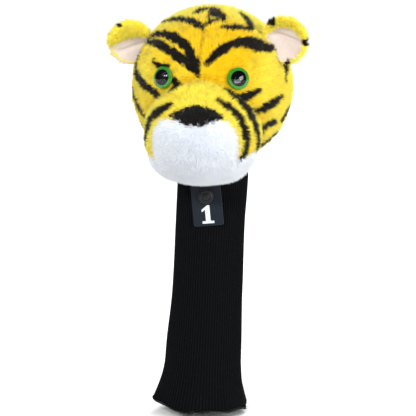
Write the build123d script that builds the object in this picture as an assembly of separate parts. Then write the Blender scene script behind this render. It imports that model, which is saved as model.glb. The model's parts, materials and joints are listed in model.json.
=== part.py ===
from build123d import *

import os
from math import cos, radians, sin, sqrt

# Driver head cover: a plush tiger's head on a long knitted sleeve, with a numbered tag riveted to it.
# Millimetres. +Z is up and the tiger looks along -Y. The origin is the centre of the neck, where the
# sleeve is sewn to the head and bends. Left and right are as seen from in front of the face: left is -X.

# Head: a ball of plush over padding over a lining, around a pocket for the club's head
HEAD_R = 75.0
HEAD_FORWARD = 10.0  # the ball's centre, in front of the neck
HEAD_RISE = HEAD_R * 14 / 15  # and above it, so that the ball's foot comes just below the neck
PLUSH = 4.0  # backing and pile together
PADDING = 9.0
LINING = 1.5
SIDE_SEAM_FORWARD = 12.0  # the seam between face and back panels, in front of the ball's centre

# Muzzle: an ellipsoid sewn to the front of the ball, in proportion to it
MUZZLE_RX = HEAD_R * 0.72
MUZZLE_RY = MUZZLE_RZ = HEAD_R * 2 / 3
MUZZLE_FORWARD = HEAD_R * 2 / 3  # from the head's centre
MUZZLE_DROP = HEAD_R * 38 / 75
CHIN_TOP_HALF = 36.0  # half width of the white panel beside the nose
CHIN_LOW_HALF = 45.0
CHIN_TOP_RISE = 17.0  # the white panel's top edge, above the muzzle's centre
CHIN_WING_DROP = 17.0  # below this the white goes right round
NOSE_HALF = 25.0
NOSE_TOP_RISE = 25.0  # above the muzzle's centre
NOSE_SHOULDER_RISE = 23.5
NOSE_CORNER_RISE = 15.0
NOSE_TIP_RISE = 5.0

# Neck: the head's hole is wider than the sleeve by the room that the sewn joint bends in
NECK_ROOM = 3.4
BINDING = 2.0

# Knitted sleeve: lengths are down its own axis from the neck
SLEEVE_R = 33.0  # outside radius of the straight part
SLEEVE_WALL = 2.2
SLEEVE_LENGTH = 237.0
SLEEVE_ABOVE_NECK = 10.0
SLEEVE_STRAIGHT = 127.0
KNEE_ABOVE_MOUTH = 45.0
KNEE_R = 35.4
MOUTH_R = 45.5
SLEEVE_LEAN = 3.0  # degrees, its mouth towards the left
EDGING_HEIGHT = 4.0
EDGING_PROUD = 0.6  # how far the overlocked edge stands out of the knit, on each side

# Eyes: a clear dome over a green ring and a black pupil, on a shank with a locking washer
EYE_R = 10.0
PUPIL_R = 6.6
EYE_AZIMUTH, EYE_ELEVATION = 28.0, 9.5  # degrees, from the head's centre
EYE_SEAT = 1.4  # depth of the base plate in the pile
EYE_PLATE = 0.8
LENS_RIM, LENS_RISE = 1.0, 4.6
SHANK_R, SHANK_LENGTH = 2.2, 8.0
EYE_WASHER_R, EYE_WASHER = 8.0, 1.6

# Ears: a plush back and a smooth lining, dished, on a rolled root
EAR_AZIMUTH, EAR_ELEVATION = 74.0, 31.0  # where the root sits, and where the ear points
EAR_R = 21.5
EAR_CENTRE = 9.5  # the ear's round outline is centred this far past its root
EAR_ROOT_HALF = 17.0
EAR_ROOT_R = 2.6
EAR_BACK, EAR_LINING = 3.2, 1.6
EAR_DISH_R = 45.0
EAR_GAP = 0.5  # between the root and the head

# Number tag and its rivet, on the front of the sleeve
RIVET_DROP = 31.5  # below the neck
TAG_WIDTH, TAG_ABOVE, TAG_BELOW = 28.2, 10.6, 28.0  # above and below are from the rivet
TAG_LAYER = 0.7
TAG_CORNER = 2.0
TAG_TILT = 8.5  # degrees from straight, counter-clockwise from in front
TAG_GAP = 0.5  # between the tag and the sleeve
CAP_R, CAP_RISE = 7.5, 2.4
POST_R = 2.0
RIVET_PLAY = 0.08  # between the rivet and the tag
RIVET_WASHER_R, RIVET_WASHER = 5.5, 1.0
NUMERAL_DROP = 8.5  # the numeral's top, below the rivet
NUMERAL_HEIGHT, NUMERAL_WIDTH, NUMERAL_STEM = 17.0, 11.0, 4.4
NUMERAL_SERIF, NUMERAL_THICKNESS = 2.2, 0.4
NUMERAL_FLAG = 4.0  # how far the stroke at its top comes down

# Worked out from the above
HEAD = Vector(0, -HEAD_FORWARD, HEAD_RISE)
MUZZLE = HEAD + Vector(0, -MUZZLE_FORWARD, -MUZZLE_DROP)
PADDING_R = HEAD_R - PLUSH
LINING_R = PADDING_R - PADDING
POCKET_R = LINING_R - LINING
NECK_R = SLEEVE_R + NECK_ROOM
SLEEVE_PLACE = Rot(0, SLEEVE_LEAN, 0)
RIVET_PLACE = SLEEVE_PLACE * Pos(0, 0, -RIVET_DROP) * Rot(90, 0, 0)  # Z out of the sleeve, Y up
FAR = 4 * HEAD_R  # long enough to cut right through


def ball(centre, radius):
    return Pos(*centre) * Sphere(radius)


def bar(radius, low, high):
    """A round bar on Z between two heights."""
    return Pos(0, 0, (low + high) / 2) * Cylinder(radius, high - low)


def cap(radius, base, rim, rise):
    """A dome on Z: its rim is a short wall over the base, and its crown rises over that."""
    crown_r = (radius**2 + rise**2) / (2 * rise)
    crown = Pos(0, 0, base + rim + rise - crown_r) * Sphere(crown_r)
    return crown & bar(radius, base, base + rim + rise)


def muzzle_ball(inset=0.0):
    """The muzzle's ellipsoid, smaller by inset on every side."""
    radii = (MUZZLE_RX - inset, MUZZLE_RY - inset, MUZZLE_RZ - inset)
    return Pos(*MUZZLE) * scale(Sphere(1.0), by=radii)


def neck_plug(radius):
    """A plug up the neck, from below the chin to the pocket."""
    return bar(radius, -HEAD_R, HEAD_RISE)


def side_half(side):
    return Pos(side * FAR / 2, 0, HEAD_RISE) * Box(FAR, FAR, FAR)


def front_half(side, seam):
    return Pos(0, seam + side * FAR / 2, HEAD_RISE) * Box(FAR, FAR, FAR)


def muzzle_prism(points):
    """A closed outline in X and Z about the muzzle's centre, pushed forward through the muzzle."""
    outline = make_face(Polyline(*points, close=True))
    plane = Plane(origin=MUZZLE, x_dir=(1, 0, 0), z_dir=(0, -1, 0))
    return extrude(plane * outline, 2 * MUZZLE_RY)


def head_direction(side, azimuth, elevation):
    """The way out of the head's centre at an angle sideways from the nose, and an angle up."""
    az, el = radians(azimuth), radians(elevation)
    return Vector(side * sin(az) * cos(el), -cos(az) * cos(el), sin(el))


def eye(side):
    """The five pieces of one eye, and the holes that it needs in the plush and in the padding."""
    out = head_direction(side, EYE_AZIMUTH, EYE_ELEVATION)
    place = Plane(origin=HEAD + out * HEAD_R, x_dir=(0, 0, 1), z_dir=out)
    plate_top = EYE_PLATE - EYE_SEAT
    colour_top = plate_top + EYE_PLATE
    shank_end = -EYE_SEAT - SHANK_LENGTH
    washer_low = -PLUSH - EYE_WASHER
    shank = bar(EYE_R, -EYE_SEAT, plate_top) + bar(SHANK_R, shank_end, -EYE_SEAT)
    pupil = bar(PUPIL_R, plate_top, colour_top)
    iris = bar(EYE_R, plate_top, colour_top) - pupil
    lens = cap(EYE_R, colour_top, LENS_RIM, LENS_RISE)
    washer = bar(EYE_WASHER_R, washer_low, -PLUSH) - bar(SHANK_R, washer_low, -PLUSH)
    hole = bar(SHANK_R, shank_end, EYE_R)
    plush_hole = bar(EYE_R, -EYE_SEAT, EYE_R) + hole + bar(EYE_WASHER_R, washer_low, -PLUSH)
    padding_hole = hole + bar(EYE_WASHER_R, washer_low, 0)
    pieces = {"lens": lens, "iris": iris, "pupil": pupil, "shank": shank, "washer": washer}
    return {name: place * piece for name, piece in pieces.items()}, place * plush_hole, place * padding_hole


def ear(side):
    """The plush back with its rolled root, and the lining in front of it."""
    grow = head_direction(side, EAR_AZIMUTH, EAR_ELEVATION)
    along = grow.cross(Vector(0, -1, 0)).normalized()
    place = Plane(origin=HEAD + grow * (HEAD_R + EAR_GAP + EAR_ROOT_R), x_dir=along, z_dir=grow)
    # In the ear's own frame it grows along Z from a root along X, and its lining looks along -Y.
    outline = Rot(90, 0, 0) * Pos(0, EAR_CENTRE) * Cylinder(EAR_R, 2 * EAR_DISH_R)
    outline &= Pos(0, 0, EAR_R) * Box(2 * EAR_R, 2 * EAR_DISH_R, 2 * EAR_R)
    dish = (0, -sqrt(EAR_DISH_R**2 - EAR_CENTRE**2), EAR_CENTRE)
    front_r = EAR_DISH_R - EAR_BACK / 2
    outline &= Pos(0, EAR_DISH_R + dish[1], 0) * Box(FAR, 2 * EAR_DISH_R, FAR)
    root = Rot(0, 90, 0) * Cylinder(EAR_ROOT_R, 2 * EAR_ROOT_HALF)
    back = (ball(dish, EAR_DISH_R + EAR_BACK / 2) - ball(dish, front_r)) & outline
    lining = (ball(dish, front_r) - ball(dish, front_r - EAR_LINING)) & outline
    return place * (back + root), place * (lining - root)


def head_parts():
    """Plush panels, ears, eyes, padding, lining, and the binding round the neck's hole."""
    parts = {}
    hole = neck_plug(NECK_R + BINDING)
    plush = ball(HEAD, HEAD_R) - ball(HEAD, PADDING_R) - hole - muzzle_ball()
    padding = ball(HEAD, PADDING_R) - ball(HEAD, LINING_R) - hole
    seam = HEAD.Y - SIDE_SEAM_FORWARD
    for name, side in (("left", -1), ("right", 1)):
        pieces, plush_hole, padding_hole = eye(side)
        for piece, shape in pieces.items():
            parts[f"{name}_eye_{piece}"] = shape
        half = (plush & side_half(side)) - plush_hole
        parts[f"face_panel_{name}"] = half & front_half(-1, seam)
        parts[f"back_panel_{name}"] = half & front_half(1, seam)
        half = (padding & side_half(side)) - padding_hole
        parts[f"face_padding_{name}"] = half & front_half(-1, seam)
        parts[f"back_padding_{name}"] = half & front_half(1, seam)
        parts[f"{name}_ear_back"], parts[f"{name}_ear_lining"] = ear(side)
    parts["pocket_lining"] = ball(HEAD, LINING_R) - ball(HEAD, POCKET_R) - hole
    wall = ball(HEAD, HEAD_R) - ball(HEAD, POCKET_R)
    parts["neck_binding"] = (hole - neck_plug(NECK_R)) & wall
    return parts


def muzzle_parts():
    """The muzzle's plush panels, the nose and the filling behind them."""
    behind = ball(HEAD, PADDING_R) + neck_plug(NECK_R + BINDING)
    filling = muzzle_ball(PLUSH) - behind
    plush = muzzle_ball() - muzzle_ball(PLUSH) - behind
    nose_area = muzzle_prism(
        [
            (-NOSE_HALF, NOSE_CORNER_RISE),
            (0, NOSE_TIP_RISE),
            (NOSE_HALF, NOSE_CORNER_RISE),
            (NOSE_HALF / 2, NOSE_SHOULDER_RISE),
            (0, NOSE_TOP_RISE),
            (-NOSE_HALF / 2, NOSE_SHOULDER_RISE),
        ]
    )
    white_area = muzzle_prism(
        [
            (-CHIN_TOP_HALF, CHIN_TOP_RISE),
            (CHIN_TOP_HALF, CHIN_TOP_RISE),
            (CHIN_LOW_HALF, -CHIN_WING_DROP),
            (-CHIN_LOW_HALF, -CHIN_WING_DROP),
        ]
    )
    white_area += Pos(0, MUZZLE.Y, MUZZLE.Z - CHIN_WING_DROP - FAR / 2) * Box(FAR, FAR, FAR)
    around_nose = plush - nose_area
    return {
        "nose_patch": plush & nose_area,
        "chin_panel": around_nose & white_area,
        "muzzle_panel": around_nose - white_area,
        "muzzle_filling": filling,
    }


def sleeve_parts():
    """The knitted tube and the overlocked edging round its mouth."""
    inside = SLEEVE_R - SLEEVE_WALL
    mouth = -SLEEVE_LENGTH
    corner = (SLEEVE_R, -SLEEVE_STRAIGHT)
    knee = (KNEE_R, mouth + KNEE_ABOVE_MOUTH)
    lip = (MOUTH_R, mouth + EDGING_HEIGHT)
    flare = Spline(lip, knee, corner, tangents=[(-0.5, 1), (0, 1)])
    top = (SLEEVE_R, SLEEVE_ABOVE_NECK)
    outline = flare + Line(corner, top) + Line(top, (inside, SLEEVE_ABOVE_NECK))
    outline += Line((inside, SLEEVE_ABOVE_NECK), (inside, -SLEEVE_STRAIGHT))
    outline += Pos(-SLEEVE_WALL, 0) * flare
    outline += Line((MOUTH_R - SLEEVE_WALL, lip[1]), lip)
    tube = revolve(Plane.XZ * make_face(outline), Axis.Z)
    bead = RectangleRounded(SLEEVE_WALL + 2 * EDGING_PROUD, EDGING_HEIGHT, SLEEVE_WALL / 2)
    bead_place = Pos(MOUTH_R - SLEEVE_WALL / 2, mouth + EDGING_HEIGHT / 2)
    edging = revolve(Plane.XZ * (bead_place * bead), Axis.Z)
    washer_seat = bar(RIVET_WASHER_R, 0, inside + RIVET_WASHER)
    rivet_hole = RIVET_PLACE * (bar(POST_R, 0, MOUTH_R) + washer_seat)
    return {
        "knit_sleeve": SLEEVE_PLACE * tube - rivet_hole,
        "hem_edging": SLEEVE_PLACE * edging,
    }


def numeral_outline():
    """A plain slab-footed figure one, on the tag's centre line."""
    top = -NUMERAL_DROP
    foot = top - NUMERAL_HEIGHT
    half, stem = NUMERAL_WIDTH / 2, NUMERAL_STEM / 2
    return make_face(
        Polyline(
            (-half, foot),
            (half, foot),
            (half, foot + NUMERAL_SERIF),
            (stem, foot + NUMERAL_SERIF),
            (stem, top),
            (0, top),
            (-half, top - NUMERAL_FLAG),
            (-half, top - NUMERAL_FLAG - NUMERAL_SERIF),
            (-stem, top - NUMERAL_FLAG),
            (-stem, foot + NUMERAL_SERIF),
            (-half, foot + NUMERAL_SERIF),
            close=True,
        )
    )


def tag_parts():
    """Tag layers, numeral and rivet. Heights are measured out from the sleeve's axis."""
    tag_low = SLEEVE_R + TAG_GAP
    tag_top = tag_low + 2 * TAG_LAYER
    cap_low = tag_top + RIVET_PLAY
    washer_low = SLEEVE_R - SLEEVE_WALL
    washer_top = washer_low + RIVET_WASHER
    outline = RectangleRounded(TAG_WIDTH, TAG_ABOVE + TAG_BELOW, TAG_CORNER)
    outline = Pos(0, (TAG_ABOVE - TAG_BELOW) / 2) * outline
    layer = extrude(outline - Circle(POST_R + RIVET_PLAY), TAG_LAYER)
    washer = bar(RIVET_WASHER_R, washer_low, washer_top) - bar(POST_R, 0, cap_low)
    tag_place = RIVET_PLACE * Rot(0, 0, TAG_TILT)
    return {
        "tag_backing": tag_place * Pos(0, 0, tag_low) * layer,
        "tag_face": tag_place * Pos(0, 0, tag_low + TAG_LAYER) * layer,
        "tag_numeral": tag_place * Pos(0, 0, tag_top) * extrude(numeral_outline(), NUMERAL_THICKNESS),
        "rivet_cap": RIVET_PLACE * cap(CAP_R, cap_low, 0, CAP_RISE),
        "rivet_post": RIVET_PLACE * bar(POST_R, washer_low, cap_low),
        "rivet_washer": RIVET_PLACE * washer,
    }


def main():
    os.makedirs("parts", exist_ok=True)
    for make in (head_parts, muzzle_parts, sleeve_parts, tag_parts):
        for name, shape in make().items():
            export_step(shape, f"parts/{name}.step")


main()
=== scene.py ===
import json
import math
from functools import partial

import bmesh
import bpy
import numpy as np
from bpy.props import FloatProperty, IntProperty, PointerProperty, StringProperty
from mathutils import Matrix, Vector


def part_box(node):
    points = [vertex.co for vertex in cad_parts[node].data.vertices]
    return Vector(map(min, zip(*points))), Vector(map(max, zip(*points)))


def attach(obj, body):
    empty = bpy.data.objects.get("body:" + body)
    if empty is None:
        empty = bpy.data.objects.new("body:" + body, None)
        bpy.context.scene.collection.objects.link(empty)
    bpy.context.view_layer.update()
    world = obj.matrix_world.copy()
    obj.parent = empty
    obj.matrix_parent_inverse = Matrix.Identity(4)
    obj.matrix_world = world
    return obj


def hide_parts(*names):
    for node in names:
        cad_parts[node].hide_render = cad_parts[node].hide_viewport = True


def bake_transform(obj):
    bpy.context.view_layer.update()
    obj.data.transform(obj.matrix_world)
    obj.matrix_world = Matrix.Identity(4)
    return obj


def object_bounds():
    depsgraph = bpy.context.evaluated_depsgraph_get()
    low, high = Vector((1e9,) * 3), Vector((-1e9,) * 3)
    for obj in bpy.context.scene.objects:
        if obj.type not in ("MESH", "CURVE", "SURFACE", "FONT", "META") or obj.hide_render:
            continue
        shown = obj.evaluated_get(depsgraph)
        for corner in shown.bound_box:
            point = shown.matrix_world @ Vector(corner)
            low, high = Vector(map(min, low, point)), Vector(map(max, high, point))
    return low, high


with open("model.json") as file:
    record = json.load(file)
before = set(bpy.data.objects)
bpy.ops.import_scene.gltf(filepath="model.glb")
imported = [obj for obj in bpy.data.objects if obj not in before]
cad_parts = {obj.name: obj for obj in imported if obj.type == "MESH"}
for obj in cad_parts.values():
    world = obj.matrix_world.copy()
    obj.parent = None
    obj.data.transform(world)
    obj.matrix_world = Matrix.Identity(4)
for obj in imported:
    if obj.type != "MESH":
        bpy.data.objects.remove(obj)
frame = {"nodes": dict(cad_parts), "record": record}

# A plush tiger driver head cover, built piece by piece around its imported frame.
# Shapes are worked out in millimetres in the frame's own axes and stored in metres.

bl_info = {
    "name": "Plush Tiger Head Cover",
    "version": (1, 0, 0),
    "blender": (4, 5, 0),
    "location": "View3D > Sidebar > Head Cover",
    "description": "Builds a plush driver head cover with a knitted sleeve around its frame",
    "category": "Object",
}

MM = 0.001
CAD_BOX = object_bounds()


def box_mm(node):
    """A CAD node's lowest and highest corners, in millimetres."""
    low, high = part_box(node)
    return np.array(low) / MM, np.array(high) / MM


# The head's ball, read from the panels behind the side seam, and the muzzle's ellipsoid
BACK_LOW, BACK_HIGH = box_mm("back_panel_left")
HEAD_R = -float(BACK_LOW[0])
HEAD = np.array([0.0, BACK_HIGH[1] - HEAD_R, BACK_HIGH[2] - HEAD_R])
SEAM_Y = float(BACK_LOW[1])
CHIN_LOW = box_mm("chin_panel")[0]
MUZZLE_HALF_WIDTH = float(box_mm("muzzle_panel")[1][0])
MUZZLE_DEPTH = 50.0  # from the muzzle's middle to its front, and to its bottom
MUZZLE_R = np.array([MUZZLE_HALF_WIDTH, MUZZLE_DEPTH, MUZZLE_DEPTH])
MUZZLE = np.array([0.0, CHIN_LOW[1] + MUZZLE_R[1], CHIN_LOW[2] + MUZZLE_R[2]])
BINDING_R = float(box_mm("neck_binding")[1][0])
EYES = {side: np.mean(box_mm(f"{side}_eye_iris"), axis=0) for side in ("left", "right")}
EYE_R = 10.0
JOINTS = {joint["name"]: joint for joint in frame["record"]["behaviour"]["joints"]}
SLEEVE_AXIS = np.array(next(m for m in frame["record"]["mounts"] if m["name"] == "shaft_sleeve")["axis"])
SLEEVE_R = 33.3
SLEEVE_LENGTH = 237.0
RNG_SEED = 7


# Small tools ----------------------------------------------------------------------------------------------


def linear(code):
    """An sRGB hex colour as linear RGBA."""
    parts = [int(code[i : i + 2], 16) / 255 for i in (1, 3, 5)]
    return [c / 12.92 if c <= 0.04045 else ((c + 0.055) / 1.055) ** 2.4 for c in parts] + [1.0]


def add(tree, kind, inputs=None, **settings):
    """A node with its settings, and each input either linked from a socket or set to a value."""
    node = tree.nodes.new(kind)
    for name, value in settings.items():
        setattr(node, name, value)
    for key, value in (inputs or {}).items():
        if isinstance(value, bpy.types.NodeSocket):
            tree.links.new(value, node.inputs[key])
        else:
            node.inputs[key].default_value = value
    return node


def new_object(name, points, faces):
    """A smooth mesh object from points in millimetres."""
    mesh = bpy.data.meshes.new(name)
    mesh.from_pydata((np.asarray(points) * MM).tolist(), [], [tuple(map(int, f)) for f in faces])
    mesh.polygons.foreach_set("use_smooth", [True] * len(mesh.polygons))
    mesh.update()
    obj = bpy.data.objects.new(name, mesh)
    bpy.context.scene.collection.objects.link(obj)
    return obj


def outward(obj):
    """Merges doubles and turns every face of a closed mesh outwards."""
    bm = bmesh.new()
    bm.from_mesh(obj.data)
    bmesh.ops.remove_doubles(bm, verts=bm.verts, dist=1e-6)
    bmesh.ops.recalc_face_normals(bm, faces=bm.faces)
    bm.to_mesh(obj.data)
    bm.free()
    return obj


def set_values(obj, name, values):
    """Stores a number or a vector for each of a mesh's points."""
    values = np.asarray(values, dtype=np.float32)
    kind, key = ("FLOAT", "value") if values.ndim == 1 else ("FLOAT_VECTOR", "vector")
    layer = obj.data.attributes.new(name, kind, "POINT")
    layer.data.foreach_set(key, values.ravel())


def settle(obj):
    """Turns an object's modifiers into its mesh."""
    graph = bpy.context.evaluated_depsgraph_get()
    graph.update()
    mesh = bpy.data.meshes.new_from_object(obj.evaluated_get(graph), depsgraph=graph)
    obj.modifiers.clear()
    obj.data = mesh
    return obj


def run_nodes(obj, tree, values):
    """Runs a node group on an object, its inputs set by name, and keeps the result as its mesh."""
    modifier = obj.modifiers.new(tree.name, "NODES")
    modifier.node_group = tree
    for item in tree.interface.items_tree:
        if item.in_out == "INPUT" and item.name in values:
            modifier[item.identifier] = values[item.name]
    return settle(obj)


def new_group(name, inputs):
    """A geometry node group that takes a mesh and gives one, and its inputs: each name and its kind."""
    tree = bpy.data.node_groups.new(name, "GeometryNodeTree")
    for label, kind in {"Geometry": "Geometry", **inputs, "Material": "Material"}.items():
        tree.interface.new_socket(label, in_out="INPUT", socket_type=f"NodeSocket{kind}")
    tree.interface.new_socket("Geometry", in_out="OUTPUT", socket_type="NodeSocketGeometry")
    return tree, add(tree, "NodeGroupInput").outputs


def end_group(tree, mesh, material):
    """Smooths a node group's mesh, gives it its material and puts it out."""
    smooth = add(tree, "GeometryNodeSetShadeSmooth", {"Geometry": mesh, "Shade Smooth": True})
    dressed = add(tree, "GeometryNodeSetMaterial", {"Geometry": smooth.outputs[0], "Material": material})
    add(tree, "NodeGroupOutput", {"Geometry": dressed.outputs[0]})


def points_of(obj):
    places = np.empty(len(obj.data.vertices) * 3)
    obj.data.vertices.foreach_get("co", places)
    return places.reshape(-1, 3) / MM


def subdivided(obj):
    """A mesh's points and quads after one round of smoothing; the object itself is dropped."""
    finer = obj.modifiers.new("Subdivision", "SUBSURF")
    finer.levels = finer.render_levels = 1
    settle(obj)
    points = points_of(obj)
    quads = np.array([p.vertices[:] for p in obj.data.polygons])
    bpy.data.objects.remove(obj)
    return points, quads


def unit(vectors):
    return vectors / np.maximum(np.linalg.norm(vectors, axis=-1, keepdims=True), 1e-9)


def point_normals(points, faces):
    """Each point's normal: the mean of its faces', weighted by their areas."""
    quads = points[faces]
    normals = np.cross(quads[:, 2] - quads[:, 0], quads[:, 3] - quads[:, 1])
    total = np.zeros_like(points)
    for corner in range(4):
        np.add.at(total, faces[:, corner], normals)
    return unit(total)


def shell(points, faces, normals, thickness):
    """A sheet of quads given an inner wall and a rim: points, faces, and the number of outer points."""
    count = len(points)
    edges = np.concatenate([faces[:, [i, (i + 1) % 4]] for i in range(4)])
    keys = {tuple(edge) for edge in edges.tolist()}
    rim = [(b, a, a + count, b + count) for a, b in keys if (b, a) not in keys]
    inner = faces[:, ::-1] + count
    all_points = np.concatenate([points, points - normals * thickness])
    return all_points, faces.tolist() + inner.tolist() + rim, count


def smooth_step(low, high, values):
    t = np.clip((values - low) / (high - low), 0, 1)
    return t * t * (3 - 2 * t)


def tube_faces(rows, columns):
    """Quads of a grid of rows that closes round its columns."""
    i, j = np.meshgrid(np.arange(rows - 1), np.arange(columns), indexing="ij")
    k = (j + 1) % columns
    corners = [i * columns + j, i * columns + k, (i + 1) * columns + k, (i + 1) * columns + j]
    return np.stack(corners, -1).reshape(-1, 4)


# Head's form ----------------------------------------------------------------------------------------------

PILE_ROOT = 3.4  # the plush's backing lies this far under the head's outer size
BLEND = 3.0  # how softly the muzzle runs into the ball
BRIDGE = np.array([0.0, -62.0, 54.0])
BRIDGE_R = np.array([33.0, 31.0, 30.0])
BRIDGE_BLEND = 10.0
JOWL = np.array([24.5, -64.0, 12.5])
JOWL_R = 19.5
JOWL_SKEW = -2.5  # the stuffing sits a little to the left
NOSE_HALF = 25.0
NOSE_LOW, NOSE_MID, NOSE_TOP = 41.0, 49.5, 59.5
WHITE_TOP = 47.0  # height of the white panel's top edge beside the nose
WHITE_HALF, WHITE_SPREAD = 30.0, 8.0  # half its width at the top, and how much wider it grows below
WING_HEIGHT, WING_RISE = 8.0, 8.0  # its edge under the cheeks: its height, and how far that rises outwards
FORM_CENTRE = HEAD + np.array([0.0, -16.0, -8.0])
# Each seam's depth and width
MUZZLE_SEAM, MIDDLE_SEAM, SIDE_SEAM, WHITE_SEAM = (2.4, 3.4), (3.2, 2.2), (1.3, 2.2), (1.2, 2.4)


def ellipsoid(points, centre, radii):
    """Roughly how far points lie outside an ellipsoid."""
    q = (points - centre) / radii
    k0 = np.linalg.norm(q, axis=-1)
    k1 = np.linalg.norm(q / radii, axis=-1)
    return k0 * (k0 - 1) / np.maximum(k1, 1e-9)


def melt(a, b, width):
    """The nearer of two distances, with a soft join."""
    h = np.clip(0.5 + 0.5 * (b - a) / width, 0, 1)
    return b * (1 - h) + a * h - width * h * (1 - h)


def ball_distance(points):
    return np.linalg.norm(points - HEAD, axis=-1) - (HEAD_R - PILE_ROOT)


def muzzle_distance(points):
    snout = ellipsoid(points, MUZZLE, MUZZLE_R - PILE_ROOT)
    bridge = ellipsoid(points, BRIDGE, BRIDGE_R)
    folded = np.stack([np.abs(points[..., 0] - JOWL_SKEW), points[..., 1], points[..., 2]], -1)
    jowls = np.linalg.norm(folded - JOWL, axis=-1) - JOWL_R
    return melt(melt(snout, bridge, BRIDGE_BLEND), jowls, BRIDGE_BLEND)


def crease_gap(points):
    """How far points lie from the crease round the muzzle: below 0 on the muzzle."""
    return muzzle_distance(points) - ball_distance(points)


def form_distance(points):
    return melt(ball_distance(points), muzzle_distance(points), BLEND)


def nose_depth(points):
    """How far inside the nose's leaf outline points lie, seen from in front."""
    x = np.abs(points[:, 0])
    t = np.clip(1 - (x / NOSE_HALF) ** 1.6, 0, 1)
    top = NOSE_MID + (NOSE_TOP - NOSE_MID) * t**0.8
    low = NOSE_MID - (NOSE_MID - NOSE_LOW) * t**0.75
    depth = np.minimum(top - points[:, 2], points[:, 2] - low)
    depth = np.minimum(depth, (NOSE_HALF - x) * 0.6)
    return np.where(points[:, 1] < MUZZLE[1], depth, -99.0)


def lumps(points, size, seed):
    """Soft unevenness from -1 to 1: waves about this many millimetres long, running every way."""
    draw = np.random.default_rng(seed)
    ways = unit(draw.normal(size=(14, 3)))
    lengths = size * draw.uniform(0.7, 1.5, 14)
    starts = draw.uniform(0, 2 * math.pi, 14)
    waves = [
        np.sin(points @ way * 2 * math.pi / length + start)
        for way, length, start in zip(ways, lengths, starts)
    ]
    return np.sum(waves, axis=0) / 5.0


def groove(gap, depth, width):
    """How far a seam draws the plush in, at a distance from its stitches."""
    return depth * np.exp(-((gap / width) ** 2))


def seam_pull(points):
    """How far the seams draw the plush in at each point."""
    crease = crease_gap(points)
    off_muzzle = smooth_step(-1.5, 1.5, crease)
    below_nose = points[:, 2] < WHITE_TOP + 6
    pull = groove(crease, *MUZZLE_SEAM)
    pull += groove(points[:, 0], *MIDDLE_SEAM) * off_muzzle
    pull += groove(points[:, 1] - SEAM_Y, *SIDE_SEAM) * off_muzzle
    pull += groove(white_depth(points), *WHITE_SEAM) * below_nose
    return pull


def white_depth(points):
    """How far inside the white panel points lie: the muzzle below the nose, and the underside."""
    x, z = np.abs(points[:, 0] - JOWL_SKEW), points[:, 2]
    top = WHITE_TOP - 4.0 * (x / 34.0) ** 2 - z
    side = WHITE_HALF + WHITE_SPREAD * smooth_step(46, 30, z) - x
    wing = WING_HEIGHT + WING_RISE * smooth_step(36, 50, x) - z
    return np.maximum(np.minimum(top, side), wing)


def quad_sphere(steps):
    """Unit directions and quads of a cube's faces blown up to a ball."""
    ramp = np.tan(np.linspace(-math.pi / 4, math.pi / 4, steps + 1))
    a, b = np.meshgrid(ramp, ramp, indexing="ij")
    one = np.ones_like(a)
    sides = [(one, a, b), (-one, b, a), (b, one, a), (a, -one, b), (a, b, one), (b, a, -one)]
    points = np.concatenate([np.stack(side, -1).reshape(-1, 3) for side in sides])
    i, j = np.meshgrid(np.arange(steps), np.arange(steps), indexing="ij")
    row = steps + 1
    corners = [i * row + j, (i + 1) * row + j, (i + 1) * row + j + 1, i * row + j + 1]
    quad = np.stack(corners, -1).reshape(-1, 4)
    faces = np.concatenate([quad + k * row * row for k in range(6)])
    _, first, back = np.unique(np.round(points, 6), axis=0, return_index=True, return_inverse=True)
    return unit(points[first]), back.reshape(-1)[faces]


def head_surface(directions):
    """Where rays from the form's centre leave the head."""
    low = np.full(len(directions), 20.0)
    high = np.full(len(directions), 150.0)
    for _ in range(26):
        middle = (low + high) / 2
        outside = form_distance(FORM_CENTRE + directions * middle[:, None]) > 0
        high = np.where(outside, middle, high)
        low = np.where(outside, low, middle)
    return FORM_CENTRE + directions * high[:, None]


def puff(obj, pinned, cap, pressure):
    """Cloth under pressure, held at its seams: the stuffing rounds each panel out by at most cap mm."""
    before = points_of(obj)
    group = obj.vertex_groups.new(name="seams")
    group.add(np.flatnonzero(pinned).tolist(), 1.0, "REPLACE")
    cloth = obj.modifiers.new("Cloth", "CLOTH")
    cloth.settings.use_pressure = True
    cloth.settings.uniform_pressure_force = pressure
    cloth.settings.vertex_group_mass = "seams"
    cloth.settings.quality = 5
    cloth.settings.tension_stiffness = 12
    cloth.settings.compression_stiffness = 12
    cloth.settings.effector_weights.gravity = 0
    for step in range(1, 21):
        bpy.context.scene.frame_set(step)
    settle(obj)
    moved = points_of(obj) - before
    size = np.linalg.norm(moved, axis=1, keepdims=True)
    after = before + moved * np.minimum(1, cap / np.maximum(size, 1e-6))
    obj.data.vertices.foreach_set("co", (after * MM).ravel())
    obj.data.update()
    obj.vertex_groups.clear()
    bpy.context.scene.frame_set(1)


# Markings -------------------------------------------------------------------------------------------------
# Each stripe is a stroke of the airbrush: its widest half width in millimetres, then a few places that it
# passes through as (azimuth, elevation) in degrees about the head's centre. Azimuth 0 is straight ahead and
# grows to the right. A stroke starts and ends at half its width.

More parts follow.
